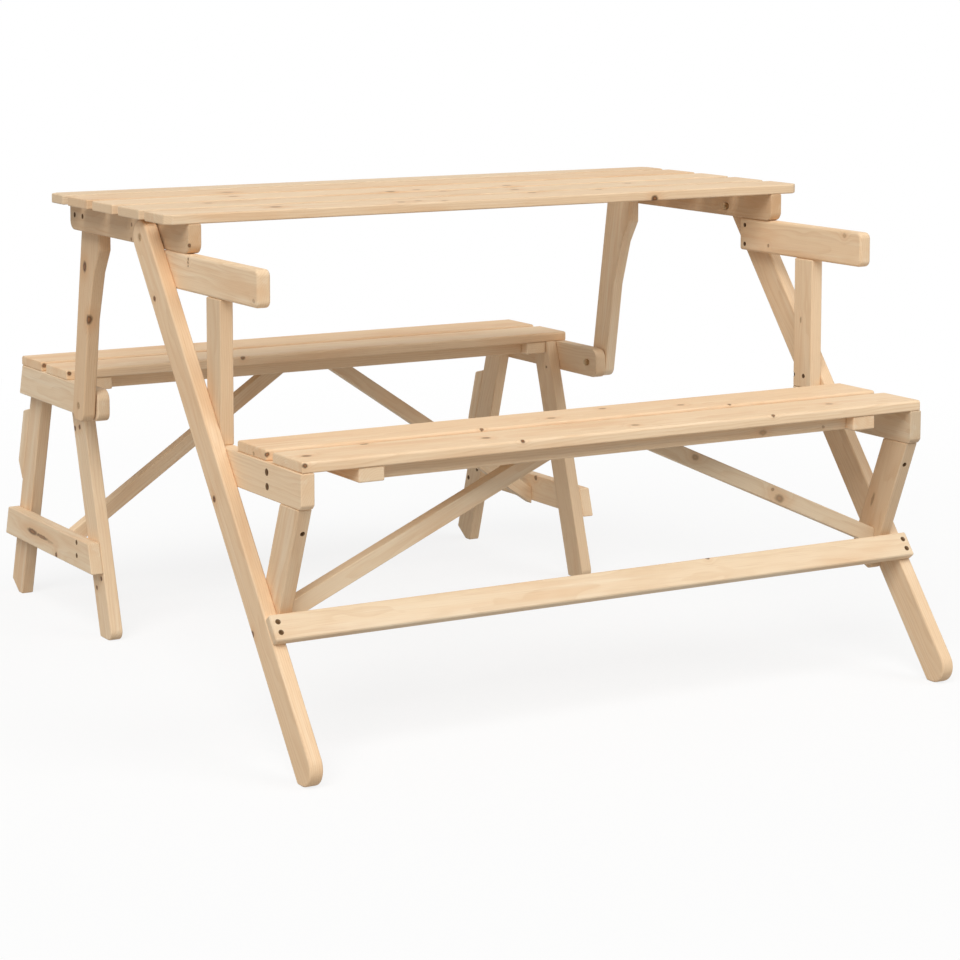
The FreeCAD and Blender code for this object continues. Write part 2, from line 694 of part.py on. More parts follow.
doc.recompute()
for thing in doc.Objects:
    if "Invalid" in thing.State or "Error" in thing.State:
        raise ValueError("%s is in state %s" % (thing.Name, thing.State))
for piece in pieces:
    if piece.Shape.isNull() or not piece.Shape.isValid():
        raise ValueError("%s has no valid shape" % piece.Label)

os.makedirs("parts", exist_ok=True)
for piece in pieces:
    piece.Shape.exportStep("parts/%s.step" % piece.Label)
    print("%-28s %2d solid(s) %8.0f mm3" % (
        piece.Label, len(piece.Shape.Solids), piece.Shape.Volume))
print(len(pieces), "nodes")
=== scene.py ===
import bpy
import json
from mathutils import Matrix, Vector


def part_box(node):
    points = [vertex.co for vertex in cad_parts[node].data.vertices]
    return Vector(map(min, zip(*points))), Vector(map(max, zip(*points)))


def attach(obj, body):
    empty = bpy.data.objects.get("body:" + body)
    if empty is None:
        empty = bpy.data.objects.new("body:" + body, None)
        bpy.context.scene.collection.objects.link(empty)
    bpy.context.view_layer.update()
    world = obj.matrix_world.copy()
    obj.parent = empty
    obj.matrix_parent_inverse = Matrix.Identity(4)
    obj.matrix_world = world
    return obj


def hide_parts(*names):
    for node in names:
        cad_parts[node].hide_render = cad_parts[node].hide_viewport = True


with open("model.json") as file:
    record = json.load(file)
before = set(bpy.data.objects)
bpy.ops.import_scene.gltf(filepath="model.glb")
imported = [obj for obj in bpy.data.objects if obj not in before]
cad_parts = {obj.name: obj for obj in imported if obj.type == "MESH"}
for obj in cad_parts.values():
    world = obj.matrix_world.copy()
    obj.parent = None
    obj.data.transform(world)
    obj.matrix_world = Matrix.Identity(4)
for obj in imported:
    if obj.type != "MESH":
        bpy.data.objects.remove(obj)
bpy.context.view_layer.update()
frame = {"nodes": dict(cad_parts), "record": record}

# %% [markdown]
# This scene dresses a folding picnic table bench. Its construction comes from a packed
# model: every stick, board, bolt and screw is already at its real size and place, and
# that frame isn't moved here. What is missing is the finish. The real bench is bare,
# planed spruce with softened edges, dark knots and small zinc plated fasteners, so this
# lesson rounds each stick, finds which way its grain runs, and paints the wood with
# nodes. All lengths are in metres unless a name ends in _mm.

# %% Modules and the size of the frame
import hashlib
import json
import math
import random

import bmesh
import bpy
from mathutils import Matrix, Vector

MM = 0.001

# %% [markdown]
# The camera stands in front of the left end, a little above the tabletop. A camera that
# looks straight at the bench would lean its posts in the picture, and one that looks
# level with a strongly shifted lens would lose the bench from other sides. So the lens is
# shifted by a part and the camera looks down by the rest. The long lens keeps the far
# legs nearly as big as the near ones.

# %% Camera
IMAGE_PX = 960
FOCAL_PX = 2739.5
LENS_MIDDLE_PX = (458.4, 272)
SENSOR_MM = 36
CAMERA_PLACE = (-2.1589, -3.8470, 1.0969)
CAMERA_TURN = math.radians(-29.985)
CAMERA_LOOKS_DOWN = math.radians(6.393)
SEES_AS_FAR_AS = 60

camera_data = bpy.data.cameras.new("camera")
camera_data.sensor_width = SENSOR_MM
camera_data.lens = FOCAL_PX * SENSOR_MM / IMAGE_PX
camera_data.shift_x = (IMAGE_PX / 2 - LENS_MIDDLE_PX[0]) / IMAGE_PX
camera_data.shift_y = (LENS_MIDDLE_PX[1] - IMAGE_PX / 2) / IMAGE_PX
camera_data.clip_end = SEES_AS_FAR_AS
camera = bpy.data.objects.new("camera", camera_data)
camera.location = CAMERA_PLACE
camera.rotation_euler = (math.pi / 2 - CAMERA_LOOKS_DOWN, 0, CAMERA_TURN)
bpy.context.scene.collection.objects.link(camera)
bpy.context.scene.camera = camera
print("lens %.1f mm, shift %.3f, %.3f" % (
    camera_data.lens, camera_data.shift_x, camera_data.shift_y))

# %% [markdown]
# Materials are made of nodes. One small function adds a node with its settings and
# links, and another turns the colours, which are written as sRGB hex values, into the
# linear numbers that the shader works in.

# %% Helpers for materials


def linear(hex_colour):
    """An sRGB hex colour as linear red, green, blue and alpha."""
    channels = [int(hex_colour[at:at + 2], 16) / 255 for at in (1, 3, 5)]
    return [c / 12.92 if c <= 0.04045 else ((c + 0.055) / 1.055) ** 2.4
            for c in channels] + [1]


def add(tree, kind, settings=None, **inputs):
    """Adds a node. A socket is named in inputs with _ for a space, or numbered with i0, i1."""
    node = tree.nodes.new("ShaderNode" + kind)
    for name, value in (settings or {}).items():
        setattr(node, name, value)
    for name, value in inputs.items():
        numbered = name[0] == "i" and name[1:].isdigit()
        socket = node.inputs[int(name[1:]) if numbered else name.replace("_", " ")]
        if isinstance(value, bpy.types.NodeSocket):
            tree.links.new(value, socket)
        else:
            socket.default_value = value
    return node


def maths(tree, operation, *values):
    """A Math node's result."""
    inputs = {"i%d" % at: value for at, value in enumerate(values)}
    return add(tree, "Math", {"operation": operation}, **inputs).outputs[0]


def new_material(name):
    """An empty material, its node tree and its shader."""
    material = bpy.data.materials.new(name)
    material.use_nodes = True
    tree = material.node_tree
    return material, tree, tree.nodes["Principled BSDF"]


def blend_colours(tree, factor, first, second):
    """A mix of two colours, each given as a hex value or a socket."""
    node = add(tree, "Mix", {"data_type": "RGBA"}, i0=factor)
    for socket, colour in ((node.inputs[6], first), (node.inputs[7], second)):
        if isinstance(colour, str):
            socket.default_value = linear(colour)
        else:
            tree.links.new(colour, socket)
    return node.outputs[2]


print("helpers ready")

# %% [markdown]
# Bare spruce, planed and left without any finish. A picture of wood could be wrapped
# round each stick, but its lines would break at every edge and be wrong on the ends. A
# board is a slice of a log, so the material is a solid log: each point of a piece
# carries its place in the log, in millimetres, as an attribute called log. Its first
# number runs along the grain. The distance from the log's middle line gives the yearly
# rings: wide pale spring wood that ends in a thin darker line. A face along the grain
# cuts the rings into stripes and arches, and an end cuts them into curves.
# Planed wood scatters light in its open fibres: it is quite rough, with a faint sheen.

# %% Spruce colours and scales
RING_MM = 3.4
RING_WANDER_MM = 14.0
WAVE_MM = 160
FIBRE_MM, FIBRE_LONG_MM = 0.9, 80.0
STREAK_MM, STREAK_LONG_MM = 14, 420.0
STAIN_MM, STAIN_LONG_MM = 50.0, 260.0
SPRING_WOOD = "#f0d3ad"
SUMMER_WOOD = "#dab182"
WARM_STAIN = "#e2b688"
PALE_STREAK = "#f6e0c0"
FIBRE_LINE = "#cda377"
END_GRAIN = "#d6ac7c"
# Painted shade: the dark brown laid on the wall of each screw hole, for the shade inside it.
HOLE_WALL_PAINTED_SHADE = "#694829"
WOOD_SHEEN = 0.3
FIBRE_DEEP_MM = 0.4


def stretched_noise(tree, log, length_mm, width_mm, detail):
    """Noise in the log, drawn out along the grain."""
    scale = (1 / length_mm, 1 / width_mm, 1 / width_mm)
    place = add(tree, "Mapping", {}, Vector=log, Scale=scale).outputs[0]
    return add(tree, "TexNoise", {}, Vector=place, Scale=1.0, Detail=detail,
               Roughness=0.55).outputs["Fac"]


def ramp(tree, value, low, high, to_low=0.0, to_high=1.0):
    """A soft step of a value from low to high."""
    return add(tree, "MapRange", {"interpolation_type": "SMOOTHSTEP"}, Value=value,
               i1=low, i2=high, i3=to_low, i4=to_high).outputs[0]


print("rings every %.1f mm, fibres %.1f mm, streaks %d mm" % (RING_MM, FIBRE_MM, STREAK_MM))

# %% [markdown]
# Knots are the roots of branches, and the rings bend round them. They could be painted
# on, but then the rings would run straight through. So a piece holds up to eight knots
# as custom properties, which the material reads back: a place in the log, then a radius,
# a darkness and how much longer than wide the knot is. The material measures the way
# from each point to each knot, and darkens the wood and pushes the rings aside by it.
# Fine noise moves the points a little first, so that no knot is a perfect circle.

# %% Knots in the log
KNOT_SLOTS = 8
KNOT_RAGGED_MM = 3.5
KNOT_RAGGED_PER_MM = 0.16
KNOT_FADES = (1.35, 0.5)
KNOT_HEART_FADES = (0.75, 0.1)
KNOT_EDGE = "#543822"
KNOT_HEART = "#966640"
RING_BEND = 1.3
RING_BEND_FADES = 0.12


def ragged_place(tree, log):
    """The place in the log, moved a little by fine noise."""
    noise = add(tree, "TexNoise", {}, Vector=log, Scale=KNOT_RAGGED_PER_MM,
                Detail=2.0).outputs["Color"]
    centred = add(tree, "VectorMath", {"operation": "SUBTRACT"}, i0=noise,
                  i1=(0.5, 0.5, 0.5)).outputs[0]
    return add(tree, "VectorMath", {"operation": "MULTIPLY_ADD"}, i0=centred,
               i1=(KNOT_RAGGED_MM,) * 3, i2=log).outputs[0]


def one_knot(tree, log, number):
    """How near a point is to a knot, in the knot's radii, how dark that knot makes the
    wood, and how far the rings bend."""
    place, look = (add(tree, "Attribute", {
        "attribute_name": "knot_%s_%d" % (what, number), "attribute_type": "OBJECT"})
        for what in ("place", "look"))
    size, darkness, stretch = add(tree, "SeparateXYZ", i0=look.outputs["Vector"]).outputs
    apart = add(tree, "VectorMath", {"operation": "SUBTRACT"},
                i0=log, i1=place.outputs["Vector"]).outputs[0]
    narrow = add(tree, "CombineXYZ", {}, Y=1.0, Z=1.0)
    tree.links.new(maths(tree, "DIVIDE", 1.0, stretch), narrow.inputs["X"])
    apart = add(tree, "VectorMath", {"operation": "MULTIPLY"},
                i0=apart, i1=narrow.outputs[0]).outputs[0]
    reach = add(tree, "VectorMath", {"operation": "LENGTH"}, i0=apart).outputs["Value"]
    near = maths(tree, "DIVIDE", reach, size)
    squared = maths(tree, "POWER", near, 2.0)
    fall = maths(tree, "EXPONENT", maths(tree, "MULTIPLY", squared, -RING_BEND_FADES))
    pushed = maths(tree, "MULTIPLY", fall, size)
    shade = maths(tree, "MULTIPLY", darkness, ramp(tree, near, *KNOT_FADES))
    return near, shade, pushed


def knots_in(tree, log):
    """The nearest knot's nearness, the darkest shade and the sum of all bends."""
    nearest, dark, bend = one_knot(tree, log, 1)
    for number in range(2, KNOT_SLOTS + 1):
        near, shade, pushed = one_knot(tree, log, number)
        nearest = maths(tree, "MINIMUM", nearest, near)
        dark = maths(tree, "MAXIMUM", dark, shade)
        bend = maths(tree, "ADD", bend, pushed)
    return nearest, dark, bend


print("up to %d knots on a piece" % KNOT_SLOTS)

# %% [markdown]
# The colour is laid on like thin coats of stain, each with its own share at each point:
# ring lines, warm stains, pale streaks, fibre lines, ends, the halo round a knot, the
# knot, and painted shade on the wall of a screw hole, for the shade inside it. A single
# colour ramp would tie all of them together, while coats can be changed one by one. At
# last a tone, held by each piece, makes it a little lighter or warmer than the next, and
# on some pieces it also carries painted light, on others painted shade.

# %% Spruce material


def yearly_rings(tree, log, bend):
    """0 in spring wood, rising slowly and falling at once where each ring ends."""
    _, across, deep = add(tree, "SeparateXYZ", i0=log).outputs
    wave = stretched_noise(tree, log, WAVE_MM, WAVE_MM / 4, 2.0)
    radius = maths(tree, "SQRT", maths(tree, "ADD", maths(tree, "POWER", across, 2.0),
                                       maths(tree, "POWER", deep, 2.0)))
    radius = maths(tree, "ADD", radius, maths(tree, "MULTIPLY", wave, RING_WANDER_MM))
    radius = maths(tree, "ADD", radius, maths(tree, "MULTIPLY", bend, RING_BEND))
    year = maths(tree, "FRACT", maths(tree, "DIVIDE", radius, RING_MM))
    return maths(tree, "MULTIPLY", ramp(tree, year, 0.3, 0.92), ramp(tree, year, 1.0, 0.93))


def attribute(tree, name):
    """A number that each face of a piece holds."""
    return add(tree, "Attribute", {"attribute_name": name}).outputs["Fac"]


def coats_of(tree, log, summer, fibre, knots):
    """The coats over the spring wood, from the lowest up: each one's share and colour."""
    near, dark, bend = knots
    streak = stretched_noise(tree, log, STREAK_LONG_MM, STREAK_MM, 3.0)
    stain = stretched_noise(tree, log, STAIN_LONG_MM, STAIN_MM, 3.0)
    strength = ramp(tree, streak, 0.35, 0.65, 0.14, 0.42)
    knot = blend_colours(tree, ramp(tree, near, *KNOT_HEART_FADES), KNOT_EDGE, KNOT_HEART)
    return ((maths(tree, "MULTIPLY", summer, strength), SUMMER_WOOD),
            (ramp(tree, stain, 0.48, 0.72, 0.0, 0.55), WARM_STAIN),
            (ramp(tree, streak, 0.5, 0.7, 0.0, 0.5), PALE_STREAK),
            (ramp(tree, fibre, 0.5, 0.8, 0.0, 0.4), FIBRE_LINE),
            (maths(tree, "MULTIPLY", attribute(tree, "end_grain"), 0.12), END_GRAIN),
            (ramp(tree, bend, 0.4, 6.0, 0.0, 0.6), WARM_STAIN),
            (dark, knot),
            # Painted shade: the walls of each countersink, darkened for the shade inside the hole.
            (maths(tree, "MULTIPLY", attribute(tree, "painted_hole_shade"), 0.9), HOLE_WALL_PAINTED_SHADE))


def spruce(name):
    """Bare spruce: its coats of colour, its tone, its sheen and its fine relief."""
    material, tree, shader = new_material(name)
    log = add(tree, "Attribute", {"attribute_name": "log"}).outputs["Vector"]
    knots = knots_in(tree, ragged_place(tree, log))
    summer = yearly_rings(tree, log, knots[2])
    fibre = stretched_noise(tree, log, FIBRE_LONG_MM, FIBRE_MM, 3.0)
    colour = SPRING_WOOD
    for share, coat in coats_of(tree, log, summer, fibre, knots):
        colour = blend_colours(tree, share, colour, coat)
    # The tone makes the piece lighter or darker; on some pieces that is painted light, on others
    # painted shade.
    tone = add(tree, "Attribute", {"attribute_name": "tone", "attribute_type": "OBJECT"})
    toned = add(tree, "Mix", {"data_type": "RGBA", "blend_type": "MULTIPLY"}, i0=1.0,
                i6=colour, i7=tone.outputs["Color"])
    tree.links.new(toned.outputs[2], shader.inputs["Base Color"])
    tree.links.new(ramp(tree, fibre, 0.2, 0.8, 0.55, 0.72), shader.inputs["Roughness"])
    shader.inputs["Specular IOR Level"].default_value = WOOD_SHEEN
    height = maths(tree, "ADD", maths(tree, "MULTIPLY", fibre, 0.6),
                   maths(tree, "MULTIPLY", summer, 0.4))
    bump = add(tree, "Bump", {}, Strength=0.25, Distance=FIBRE_DEEP_MM * MM, Height=height)
    tree.links.new(bump.outputs[0], shader.inputs["Normal"])
    return material


spruce_wood = spruce("planed_bare_spruce")
print("spruce material of", len(spruce_wood.node_tree.nodes), "nodes")

# %% [markdown]
# The fasteners are steel with a thin yellowish zinc coat. The small wood screws are
# given a darker brown colour than the pivot bolts: painted shade, for the little light
# that reaches into their recesses. Zinc grows in fine crystals, which blur its shine a
# little from spot to spot. A smooth metal would be simpler, but next to raw wood it
# looks like plastic.

# %% Steel materials
CRYSTAL_MM = 1.5
CRYSTAL_SHARE = 0.7
ROUGHNESS_SPREAD = 0.15


def zinc_plated(name, colour, dull, roughness):
    """Metal whose crystals vary from one colour towards a duller one."""
    material, tree, shader = new_material(name)
    place = add(tree, "TexCoord").outputs["Object"]
    crystals = add(tree, "TexVoronoi", {}, Vector=place, Scale=1 / (CRYSTAL_MM * MM))
    grey = add(tree, "RGBToBW", i0=crystals.outputs["Color"]).outputs[0]
    share = maths(tree, "MULTIPLY", grey, CRYSTAL_SHARE)
    tree.links.new(blend_colours(tree, share, colour, dull), shader.inputs["Base Color"])
    shader.inputs["Metallic"].default_value = 1.0
    rough = add(tree, "MapRange", {}, Value=grey, i3=roughness,
                i4=roughness + ROUGHNESS_SPREAD)
    tree.links.new(rough.outputs[0], shader.inputs["Roughness"])
    return material


bolt_zinc = zinc_plated("zinc_plated_bolt_steel", "#bf9f78", "#8c7658", 0.42)
# Dark brown screw steel: painted shade for the heads sunk in their holes.
screw_zinc_painted_shade = zinc_plated("zinc_screw_steel_painted_shade", "#7a5f42", "#4d3a28", 0.45)
print("steel:", bolt_zinc.name, screw_zinc_painted_shade.name)

# %% [markdown]
# The knots are where they are on the real bench, as far as it can be seen: each row
# has a place on the piece's face in metres, a radius in millimetres, a darkness from
# 0 to 1 and how many times longer than wide the mark is. Most are only a few
# millimetres wide. The large dark ones are on the left link and cross board.

# %% Knots of each piece
KNOTS = {
    "table_board_1": (
        (-0.368, -0.200, 0.740, 8, 0.8, 1.2), (-0.166, -0.219, 0.740, 5.5, 0.6, 1.2),
        (-0.133, -0.213, 0.740, 5, 0.5, 1.2), (-0.095, -0.227, 0.740, 4.5, 0.55, 1.2),
        (0.095, -0.172, 0.740, 6, 0.75, 1.3), (0.219, -0.174, 0.740, 5, 0.5, 1.2),
        (0.280, -0.245, 0.728, 5.5, 1.0, 1.2)),
    "table_board_2": (
        (-0.427, -0.091, 0.740, 5.5, 0.5, 1.2), (-0.010, -0.074, 0.740, 5, 0.55, 1.2),
        (0.103, -0.108, 0.740, 6, 0.6, 1.2), (0.331, -0.090, 0.740, 5, 0.55, 1.2)),
    "table_board_3": (
        (-0.343, 0.000, 0.740, 6, 0.5, 1.3), (-0.087, -0.039, 0.740, 6.5, 0.65, 1.3),
        (-0.033, -0.029, 0.740, 5, 0.5, 1.3), (0.135, -0.029, 0.740, 6, 0.6, 1.3)),
    "table_board_4": ((-0.318, 0.073, 0.740, 7, 0.5, 1.5),),
    "long_leg_left": ((-0.553, -0.173, 0.611, 4.2, 1.0, 1), (-0.553, -0.373, 0.347, 4.8, 1.0, 1),
                      (-0.553, -0.494, 0.177, 5.5, 1.0, 1)),
    "link_left": ((-0.509, 0.202, 0.620, 7, 0.95, 1.3), (-0.508, 0.191, 0.536, 6.5, 0.9, 1.3)),
    "cross_board_left": ((-0.486, 0.511, 0.133, 5, 0.9, 4.5), (-0.486, 0.468, 0.132, 3.2, 0.8, 9),
                         (-0.486, 0.430, 0.130, 2.5, 0.3, 6), (-0.486, 0.403, 0.113, 4.5, 1.0, 1)),
    "rear_seat_board_rear": ((-0.481, 0.456, 0.427, 4, 0.85, 1),),
    "rear_seat_board_front": (
        (-0.481, 0.344, 0.428, 4, 0.95, 1), (-0.164, 0.345, 0.432, 4.5, 0.8, 1)),
    "front_seat_board_front": (
        (-0.503, -0.564, 0.434, 5.5, 0.85, 1.3), (-0.526, -0.605, 0.429, 4, 0.95, 1),
        (-0.391, -0.520, 0.434, 5, 0.75, 1.3), (-0.219, -0.563, 0.434, 5.5, 0.8, 1.2),
        (-0.183, -0.604, 0.433, 3.5, 1.0, 1), (0.024, -0.577, 0.434, 5, 0.65, 1.3),
        (0.252, -0.603, 0.433, 3.2, 0.9, 1), (0.386, -0.564, 0.434, 5, 0.6, 1.3)),
    "front_seat_board_rear": (
        (-0.530, -0.455, 0.423, 3, 0.5, 1), (-0.528, -0.493, 0.427, 3.5, 0.9, 1),
        (-0.184, -0.492, 0.433, 3.5, 0.9, 1), (-0.049, -0.464, 0.434, 5, 0.6, 1.4),
        (0.063, -0.429, 0.434, 4.5, 0.6, 1.4), (0.185, -0.459, 0.434, 4.5, 0.6, 1.4),
        (0.253, -0.490, 0.434, 3.2, 0.85, 1)),
    "front_crossbar": ((0.247, -0.585, 0.405, 4.5, 0.4, 1.6), (0.359, -0.585, 0.404, 2.5, 0.5, 1)),
    "front_brace_right": ((0.169, -0.522, 0.365, 5, 0.5, 1.3), (0.326, -0.522, 0.287, 6, 0.6, 1.5),
                          (0.313, -0.522, 0.302, 3, 0.6, 1)),
    "front_strut_right": ((0.511, -0.516, 0.266, 3, 0.5, 4),),
    "stretcher": ((0.176, -0.545, 0.215, 3.5, 0.9, 1),),
    "cleat_left": ((-0.529, -0.244, 0.694, 3, 0.9, 1), (-0.530, -0.038, 0.708, 3, 0.8, 1),
                   (-0.530, -0.036, 0.686, 3, 0.8, 1)),
    "armrest_left": ((-0.532, -0.247, 0.675, 2.2, 0.9, 1), (-0.532, -0.246, 0.670, 2.4, 0.9, 1),
                     (-0.532, -0.246, 0.665, 2.0, 0.8, 1), (-0.532, -0.463, 0.637, 3, 0.4, 1.5)),
    "armrest_right": ((0.511, -0.435, 0.674, 4, 0.3, 1), (0.511, -0.235, 0.640, 3, 0.7, 1)),
    "arm_post_right": ((0.511, -0.325, 0.528, 2.5, 0.5, 2),),
    "cross_board_right": ((0.465, 0.414, 0.153, 4.5, 0.8, 1),),
    "rear_bench_front_leg_left": (
        (-0.465, 0.3625, 0.3325, 4.5, 1.0, 1), (-0.465, 0.3425, 0.337, 4.5, 1.0, 1),
        (-0.465, 0.2585, 0.098, 4, 1.0, 1), (-0.465, 0.278, 0.0795, 3.5, 1.0, 1)),
    "rear_bench_front_leg_right": ((0.444, 0.344, 0.371, 3, 0.8, 1),),
}
print(sum(len(rows) for rows in KNOTS.values()), "knots on", len(KNOTS), "pieces")

# %% [markdown]
# Wood screws hold the frame. Their heads lie a little below the face, at the bottom of
# a countersunk hole, whose wall is painted dark brown: painted shade for the shade inside
# the hole. Each row names the piece, the point on its left-hand twin, the way the hole
# faces and its radius in millimetres. The right-hand screws mirror them. The screws of
# the tilting top and of the stretcher are solids of the frame, so their places are read
# from there.

# %% Screws that the frame's solids leave out
SCREWS = (
    ("front_rail", (-0.532, -0.500, 0.404), (-1, 0, 0), 5),
    ("front_rail", (-0.532, -0.501, 0.384), (-1, 0, 0), 5),
    ("cross_board", (-0.486, 0.312, 0.151), (-1, 0, 0), 4),
    ("cross_board", (-0.486, 0.312, 0.129), (-1, 0, 0), 4),
    ("arm_post", (-0.511, -0.3085, 0.437), (1, 0, 0), 3.5),
    ("arm_post", (-0.511, -0.334, 0.4375), (1, 0, 0), 3.5),
    ("armrest", (-0.511, -0.1695, 0.669), (1, 0, 0), 3.5),
    ("armrest", (-0.511, -0.1695, 0.6375), (1, 0, 0), 3.5),
    ("front_strut", (-0.519, -0.583, 0.331), (0, -0.927, -0.374), 3.6),
    ("rear_bench_rear_leg", (-0.444, 0.5935, 0.142), (1, 0, 0), 4),
    ("rear_bench_rear_leg", (-0.444, 0.6255, 0.121), (1, 0, 0), 4),
)
holes = {}
heads = {}


def note_screw(node, body, point, facing, hole_mm, group):
    """Remembers a screw head, and the countersunk hole in the piece round it."""
    holes.setdefault(node, []).append((Vector(point), Vector(facing).normalized(), hole_mm))
    heads.setdefault((group, body), []).append((Vector(point), Vector(facing).normalized()))


bodies_of_nodes = {node: body for body, nodes in
                   frame["record"]["behaviour"]["bodies"].items() for node in nodes}
for stem, point, facing, hole_mm in SCREWS:
    for hand, side in (("left", 1), ("right", -1)):
        node = "%s_%s" % (stem, hand)
        body = bodies_of_nodes[node]
        note_screw(node, body, (side * point[0], point[1], point[2]),
                   (side * facing[0], facing[1], facing[2]), hole_mm, body + "_small_screws")
print(len(SCREWS) * 2, "screws noted")

# %% [markdown]
# Other screws are solids of the frame already. Their places could be copied by hand, but
# they would be wrong as soon as the frame changed, so they are measured: a group's mesh
# is split into its separate screws, and the outermost points of each are its head.

# %% Screws that are solids of the frame
CLEAT_HOLE_MM = 4
STRETCHER_HOLE_MM = 3.9
SAME_POINT = 0.001 * MM
SAME_LEVEL = 0.01 * MM
LEG_RUNS_BACK, LEG_RISES = 0.5406, 0.6969


def head_tops(node, facing_of):
    """The middle of each screw's head, from the separate solids of a group."""
    group = bmesh.new()
    group.from_mesh(frame["nodes"][node].data)
    bmesh.ops.remove_doubles(group, verts=group.verts, dist=SAME_POINT)
    waiting = set(group.verts)
    found = []
    for first in group.verts:
        if first not in waiting:
            continue
        waiting.remove(first)
        island = [first]
        for vertex in island:
            for edge in vertex.link_edges:
                other = edge.other_vert(vertex)
                if other in waiting:
                    waiting.remove(other)
                    island.append(other)
        middle = sum((vertex.co for vertex in island), Vector()) / len(island)
        facing = Vector(facing_of(middle)).normalized()
        top = max(vertex.co.dot(facing) for vertex in island)
        rim = [vertex.co for vertex in island if top - vertex.co.dot(facing) < SAME_LEVEL]
        found.append((sum(rim, Vector()) / len(rim), facing))
    group.free()
    return found


for place, facing in head_tops("cleat_screws", lambda middle: (middle.x, 0, 0)):
    side = "left" if place.x < 0 else "right"
    note_screw("cleat_" + side, "tabletop", place, facing, CLEAT_HOLE_MM, "cleat_screws")
leg_front = Vector((0, -LEG_RISES, LEG_RUNS_BACK))
for place, facing in head_tops("stretcher_screws", lambda middle: leg_front):
    note_screw("stretcher", "front_bench", place, facing, STRETCHER_HOLE_MM,
               "stretcher_screws")
print({name: len(rows) for (name, _), rows in heads.items()})

# %% [markdown]
# Every stick of the frame was sawn, planed and then eased: its corners were rounded by
# a few millimetres so that nobody gets a splinter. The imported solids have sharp
# corners. A bevel modifier would round the rims of the bolt holes as well, so the edges
# are chosen here: each stick is copied from its solid, its triangles are joined into
# whole faces, and only its sharp outer edges are bevelled. The longest edge shows which
# way the grain runs, and the largest face gives the board's flat side.

# %% Rounding a stick and finding its grain
EASED_MM = 2.2
EASED_APART_MM = {"armrest": 4.5, "long_leg": 3.0, "stretcher": 1.9, "link": 2.6, "brace": 1.8}
EASED_STEPS = 4
LARGE_FACE_MM2 = 32
SHARP_TURN = math.radians(25)
FLAT_TURN = math.radians(0.5)


def solid_of(node):
    """A node's solid as a mesh with whole faces instead of triangles."""
    solid = bmesh.new()
    solid.from_mesh(frame["nodes"][node].data)
    bmesh.ops.remove_doubles(solid, verts=solid.verts, dist=SAME_POINT)
    bmesh.ops.dissolve_limit(solid, angle_limit=FLAT_TURN,
                             verts=solid.verts, edges=solid.edges)
    return solid


def grain_axes(solid):
    """The directions along, across and through a piece."""
    longest = max(solid.edges, key=lambda edge: edge.calc_length())
    along = (longest.verts[1].co - longest.verts[0].co).normalized()
    if along.x + along.y + along.z < 0:
        along = -along
    largest = max(solid.faces, key=lambda face: face.calc_area())
    through = largest.normal.copy()
    return along, through.cross(along).normalized(), through


def is_outside(face):
    """True for a large face and for a facet of a rounded corner, not for a bolt hole."""
    large = face.calc_area() > LARGE_FACE_MM2 * MM * MM
    return large or all(edge.is_convex for edge in face.edges)


def ease(solid, eased_mm):
    """Rounds the sharp edges of a stick, all but those round its bolt holes."""
    edges = [edge for edge in solid.edges
             if len(edge.link_faces) == 2 and edge.calc_face_angle() > SHARP_TURN
             and all(is_outside(face) for face in edge.link_faces)]
    bmesh.ops.bevel(solid, geom=edges, offset=eased_mm * MM, offset_type="OFFSET",
                    segments=EASED_STEPS, profile=0.5, affect="EDGES", clamp_overlap=True,
                    miter_outer="SHARP", material=-1)
    return len(edges)


print("sticks are rounded by %.1f mm, armrests by %.1f mm" % (EASED_MM, EASED_APART_MM["armrest"]))

# %% [markdown]
# A countersink is the funnel that a screw's head sits in. It could be a dark spot in the
# material, but then its rim would catch no light. So cones are cut out with a boolean,
# after the rounding, which keeps the rims crisp. The faces that the cut leaves in a hole
# are found again by their place, to be coloured dark as painted shade.

# %% Countersinks
SINK_SIDES = 24
SINK_DEEP_MM = 4.0
SINK_ABOVE_MM = 1
SINK_NARROWS_TO = 0.8
SINK_WIDENS_TO = 1.1
HOLE_REACH = 1.15
HOLE_STARTS_MM = 0.2


def countersink(piece, rows):
    """Cuts the screws' countersunk holes into a piece."""
    tool = bmesh.new()
    for point, facing, hole_mm in rows:
        reach = SINK_DEEP_MM + SINK_ABOVE_MM
        turn = facing.to_track_quat("Z", "Y").to_matrix().to_4x4()
        middle = point + facing * (SINK_ABOVE_MM - reach / 2) * MM
        bmesh.ops.create_cone(tool, cap_ends=True, segments=SINK_SIDES,
                              radius1=hole_mm * SINK_NARROWS_TO * MM,
                              radius2=hole_mm * SINK_WIDENS_TO * MM,
                              depth=reach * MM, matrix=Matrix.Translation(middle) @ turn)
    mesh = bpy.data.meshes.new("countersink_tool")
    tool.to_mesh(mesh)
    tool.free()
    cutter = bpy.data.objects.new("countersink_tool", mesh)
    bpy.context.scene.collection.objects.link(cutter)
    cut = piece.modifiers.new("countersink", "BOOLEAN")
    cut.operation = "DIFFERENCE"
    cut.solver = "EXACT"
    cut.object = cutter
    now = bpy.context.evaluated_depsgraph_get()
    drilled = bpy.data.meshes.new_from_object(piece.evaluated_get(now), depsgraph=now)
    piece.modifiers.clear()
    piece.data = drilled
    bpy.data.objects.remove(cutter)


def in_hole(face, rows):
    """True for the small slanting faces of a countersink."""
    for point, facing, hole_mm in rows:
        offset = face.center - point
        height = offset.dot(facing)
        aside = offset - facing * height
        if aside.length < hole_mm * HOLE_REACH * MM and height < -HOLE_STARTS_MM * MM:
            return True
    return False


print("countersinks are %.0f mm deep" % SINK_DEEP_MM)
